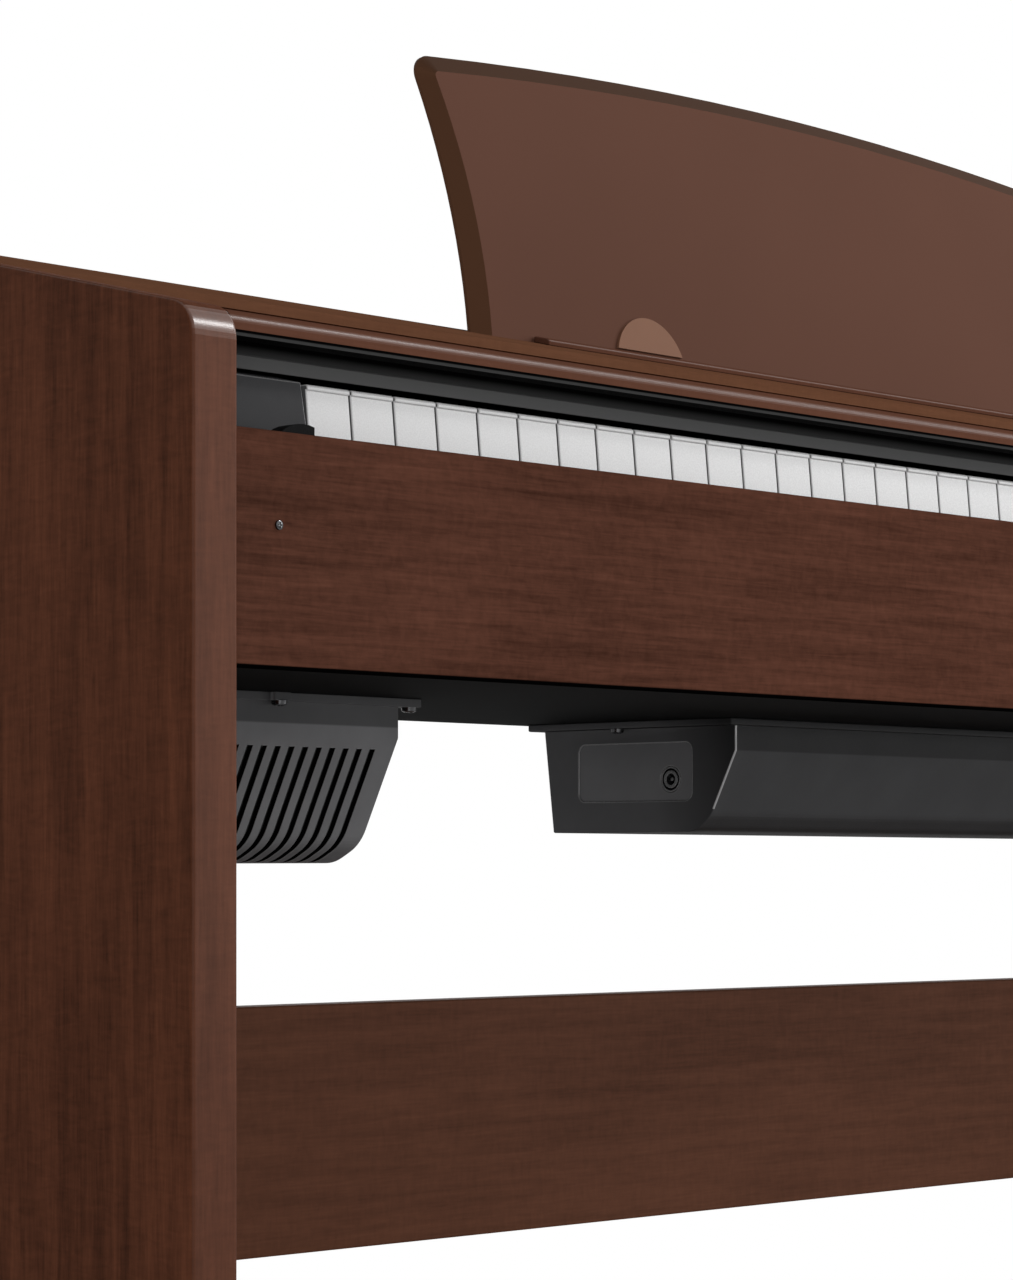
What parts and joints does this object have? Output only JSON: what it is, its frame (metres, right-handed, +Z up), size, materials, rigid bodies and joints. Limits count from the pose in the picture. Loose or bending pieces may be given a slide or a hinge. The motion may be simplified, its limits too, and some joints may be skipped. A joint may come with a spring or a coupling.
{
  "type": "digital piano on stand",
  "caption": "Slim cabinet digital piano on a panel stand: weighted-style keyboard under a sliding lid, arched music rest, speaker boxes below and a pedal unit.",
  "frame": {"origin": "on the floor under the middle of the cabinet", "axes": "+X along the keyboard to the player's right, +Y to the back, +Z up"},
  "size_m": [1.391, 0.299, 0.9415],
  "materials": {
    "wood_brown": "satin brown wood grain film",
    "top_brown": "satin brown wood grain film",
    "lid_brown": "satin brown film",
    "rest_brown": "satin brown",
    "pad_brown": "satin light brown",
    "black_board": "satin black",
    "dark_plastic": "matt dark grey",
    "grey_plastic": "fine textured dark grey",
    "key_white": "smooth white",
    "key_black": "satin black",
    "steel": "bright steel",
    "felt": "red felt",
    "circuit": "green board",
    "rubber": "matt black rubber",
    "speaker_black": "black",
    "brass": "polished"
  },
  "bodies": {
    "cabinet": {"side_panel_left": "wood_brown", "side_panel_right": "wood_brown", "floor_glides": "rubber", "key_slip": "wood_brown", "key_bed": "black_board", "rear_panel": "black_board", "top_board": "top_brown", "lid_rails": "dark_plastic", "lid_deck": "grey_plastic", "key_frame": "dark_plastic", "key_pivot_rod": "steel", "key_stop_felt": "felt", "sensor_board": "circuit", "contact_strip": "rubber", "main_board": "circuit", "cheek_left": "grey_plastic", "cheek_right": "grey_plastic", "cheek_lugs": "rubber", "control_board": "circuit", "rest_ledge": "lid_brown", "speaker_box_left": "grey_plastic", "speaker_box_right": "grey_plastic", "speaker_drivers": "speaker_black", "socket_box": "grey_plastic", "power_inlet": "dark_plastic", "headphone_sockets": "dark_plastic", "screw_heads": "steel", "back_board": "wood_brown", "pedal_rail": "wood_brown", "pedal_box": "wood_brown", "pedal_axle": "steel"},
    "lid_front": {"lid_front_leaf": "lid_brown", "lid_grip": "dark_plastic"},
    "lid_rear": {"lid_rear_leaf": "lid_brown"},
    "rest": {"music_rest": "rest_brown", "rest_pad": "pad_brown"},
    "power_button": {"power_button": "dark_plastic"},
    "tone_button": {"tone_button": "dark_plastic"},
    "rhythm_button": {"rhythm_button": "dark_plastic"},
    "knob": {"volume_knob": "dark_plastic"},
    "pedal_soft": {"pedal_soft": "brass"},
    "pedal_sostenuto": {"pedal_sostenuto": "brass"},
    "pedal_damper": {"pedal_damper": "brass"},
    "adjuster": {"pedal_adjuster": "rubber"},
    "keys_c": {"keys_c": "key_white"},
    "keys_c_sharp": {"keys_c_sharp": "key_black"},
    "keys_d": {"keys_d": "key_white"},
    "keys_d_sharp": {"keys_d_sharp": "key_black"},
    "keys_e": {"keys_e": "key_white"},
    "keys_f": {"keys_f": "key_white"},
    "keys_f_sharp": {"keys_f_sharp": "key_black"},
    "keys_g": {"keys_g": "key_white"},
    "keys_g_sharp": {"keys_g_sharp": "key_black"},
    "keys_a": {"keys_a": "key_white"},
    "keys_a_sharp": {"keys_a_sharp": "key_black"},
    "keys_b": {"keys_b": "key_white"}
  },
  "joints": [
    {"name": "lid_slide", "type": "slide", "parent": "cabinet", "child": "lid_front", "axis": [0, 0.9727, 0.232], "range_m": [0, 0.145]},
    {"name": "lid_rear_slide", "type": "slide", "parent": "cabinet", "child": "lid_rear", "axis": [0, 0.9727, 0.232], "range_m": [0, 0.0725]},
    {"name": "rest_lift", "type": "slide", "parent": "cabinet", "child": "rest", "axis": [0, 0.1908, 0.9816], "range_m": [0, 0.04]},
    {"name": "power_press", "type": "slide", "parent": "cabinet", "child": "power_button", "axis": [0, 0.232, -0.9727], "range_m": [0, 0.0008], "stiffness_N_per_m": 400, "springref_m": -0.0015},
    {"name": "tone_press", "type": "slide", "parent": "cabinet", "child": "tone_button", "axis": [0, 0.232, -0.9727], "range_m": [0, 0.0008], "stiffness_N_per_m": 400, "springref_m": -0.0015},
    {"name": "rhythm_press", "type": "slide", "parent": "cabinet", "child": "rhythm_button", "axis": [0, 0.232, -0.9727], "range_m": [0, 0.0008], "stiffness_N_per_m": 400, "springref_m": -0.0015},
    {"name": "volume_turn", "type": "hinge", "parent": "cabinet", "child": "knob", "pos_m": [-0.643, -0.0155, 0.73405], "axis": [0, -0.232, 0.9727], "range_deg": [-140, 140]},
    {"name": "soft_pedal_press", "type": "hinge", "parent": "cabinet", "child": "pedal_soft", "pos_m": [0, 0.1005, 0.07], "axis": [1, 0, 0], "range_deg": [0, 4.64], "stiffness_Nm_per_rad": 10, "springref_deg": -6.88},
    {"name": "sostenuto_pedal_press", "type": "hinge", "parent": "cabinet", "child": "pedal_sostenuto", "pos_m": [0, 0.1005, 0.07], "axis": [1, 0, 0], "range_deg": [0, 4.64], "stiffness_Nm_per_rad": 10, "springref_deg": -6.88},
    {"name": "damper_pedal_press", "type": "hinge", "parent": "cabinet", "child": "pedal_damper", "pos_m": [0, 0.1005, 0.07], "axis": [1, 0, 0], "range_deg": [0, 4.64], "stiffness_Nm_per_rad": 10, "springref_deg": -6.88},
    {"name": "adjuster_turn", "type": "hinge", "parent": "cabinet", "child": "adjuster", "pos_m": [0, 0.0385, 0], "axis": [0, 0, 1], "continuous": true},
    {"name": "press_c", "type": "hinge", "parent": "cabinet", "child": "keys_c", "pos_m": [0, 0.0905, 0.702], "axis": [1, 0, 0], "range_deg": [0, 2.6], "stiffness_Nm_per_rad": 8, "springref_deg": -8.59},
    {"name": "press_c_sharp", "type": "hinge", "parent": "cabinet", "child": "keys_c_sharp", "pos_m": [0, 0.0905, 0.702], "axis": [1, 0, 0], "range_deg": [0, 2.6], "stiffness_Nm_per_rad": 8, "springref_deg": -8.59},
    {"name": "press_d", "type": "hinge", "parent": "cabinet", "child": "keys_d", "pos_m": [0, 0.0905, 0.702], "axis": [1, 0, 0], "range_deg": [0, 2.6], "stiffness_Nm_per_rad": 8, "springref_deg": -8.59},
    {"name": "press_d_sharp", "type": "hinge", "parent": "cabinet", "child": "keys_d_sharp", "pos_m": [0, 0.0905, 0.702], "axis": [1, 0, 0], "range_deg": [0, 2.6], "stiffness_Nm_per_rad": 8, "springref_deg": -8.59},
    {"name": "press_e", "type": "hinge", "parent": "cabinet", "child": "keys_e", "pos_m": [0, 0.0905, 0.702], "axis": [1, 0, 0], "range_deg": [0, 2.6], "stiffness_Nm_per_rad": 8, "springref_deg": -8.59},
    {"name": "press_f", "type": "hinge", "parent": "cabinet", "child": "keys_f", "pos_m": [0, 0.0905, 0.702], "axis": [1, 0, 0], "range_deg": [0, 2.6], "stiffness_Nm_per_rad": 8, "springref_deg": -8.59},
    {"name": "press_f_sharp", "type": "hinge", "parent": "cabinet", "child": "keys_f_sharp", "pos_m": [0, 0.0905, 0.702], "axis": [1, 0, 0], "range_deg": [0, 2.6], "stiffness_Nm_per_rad": 8, "springref_deg": -8.59},
    {"name": "press_g", "type": "hinge", "parent": "cabinet", "child": "keys_g", "pos_m": [0, 0.0905, 0.702], "axis": [1, 0, 0], "range_deg": [0, 2.6], "stiffness_Nm_per_rad": 8, "springref_deg": -8.59},
    {"name": "press_g_sharp", "type": "hinge", "parent": "cabinet", "child": "keys_g_sharp", "pos_m": [0, 0.0905, 0.702], "axis": [1, 0, 0], "range_deg": [0, 2.6], "stiffness_Nm_per_rad": 8, "springref_deg": -8.59},
    {"name": "press_a", "type": "hinge", "parent": "cabinet", "child": "keys_a", "pos_m": [0, 0.0905, 0.702], "axis": [1, 0, 0], "range_deg": [0, 2.6], "stiffness_Nm_per_rad": 8, "springref_deg": -8.59},
    {"name": "press_a_sharp", "type": "hinge", "parent": "cabinet", "child": "keys_a_sharp", "pos_m": [0, 0.0905, 0.702], "axis": [1, 0, 0], "range_deg": [0, 2.6], "stiffness_Nm_per_rad": 8, "springref_deg": -8.59},
    {"name": "press_b", "type": "hinge", "parent": "cabinet", "child": "keys_b", "pos_m": [0, 0.0905, 0.702], "axis": [1, 0, 0], "range_deg": [0, 2.6], "stiffness_Nm_per_rad": 8, "springref_deg": -8.59}
  ],
  "couplings": [
    {"joint": "lid_rear_slide", "follows": "lid_slide", "ratio": 0.5}
  ]
}
